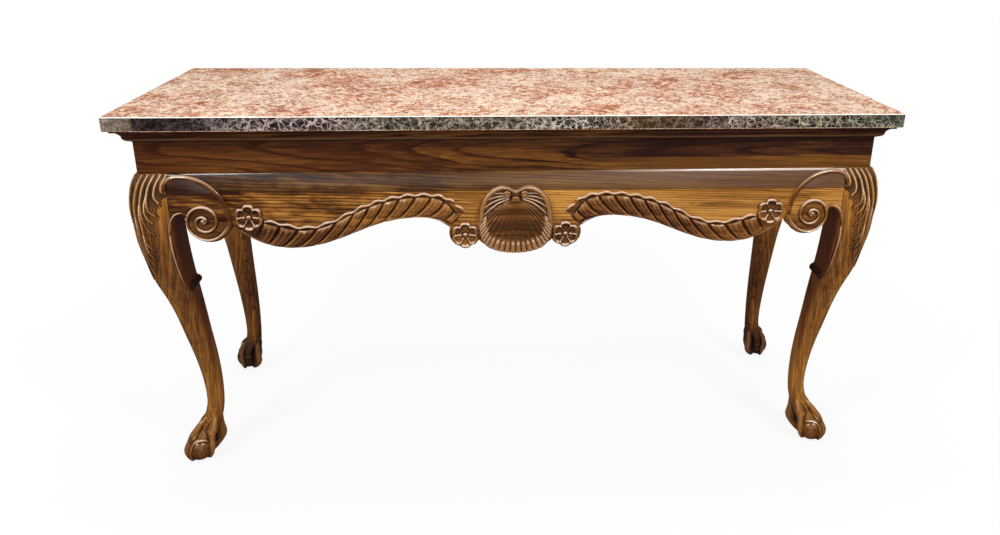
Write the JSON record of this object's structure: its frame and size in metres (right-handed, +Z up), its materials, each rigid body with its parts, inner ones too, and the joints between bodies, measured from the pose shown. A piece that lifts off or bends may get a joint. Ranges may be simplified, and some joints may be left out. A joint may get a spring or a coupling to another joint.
{
  "type": "pier table",
  "caption": "Pier table: rectangular marble slab on a moulded oak frieze, carved serpentine apron with shell and rosettes, cabriole legs on ball-and-claw feet.",
  "frame": {"origin": "on the floor, under the middle of the slab", "axes": "+X to the right seen from the front, +Y from the front to the back, +Z up"},
  "size_m": [1.65, 0.54, 0.86],
  "materials": {
    "marble": "polished veined marble, opaque",
    "oak": "medium brown oak, open grain, glossy lacquer",
    "carved_oak": "carved oak, glossy lacquer over dark glaze in the hollows",
    "plain_wood": "plain stained softwood, matt",
    "cushion": "dark rubbery cork disc",
    "glide": "brown moulded glide",
    "screw": "plated steel"
  },
  "bodies": {
    "root": {"marble_top": "marble", "frieze_front": "oak", "frieze_left": "oak", "frieze_right": "oak", "cornice_front": "oak", "cornice_left": "oak", "cornice_right": "oak", "apron_front": "oak", "apron_left": "oak", "apron_right": "oak", "knee_brackets_front": "oak", "knee_brackets_side": "oak", "leg_front_left": "oak", "leg_front_right": "oak", "leg_back_left": "oak", "leg_back_right": "oak", "rosettes": "carved_oak", "gadroon_border_right": "carved_oak", "gadroon_border_left": "carved_oak", "shell_carving": "carved_oak", "frieze_back": "plain_wood", "apron_back": "plain_wood", "batten_left": "plain_wood", "batten_middle": "plain_wood", "batten_right": "plain_wood", "corner_block_front_left": "plain_wood", "corner_block_front_right": "plain_wood", "corner_block_back_left": "plain_wood", "corner_block_back_right": "plain_wood", "slab_pads": "cushion", "foot_glides": "glide", "corner_block_screws": "screw"}
  },
  "joints": []
}
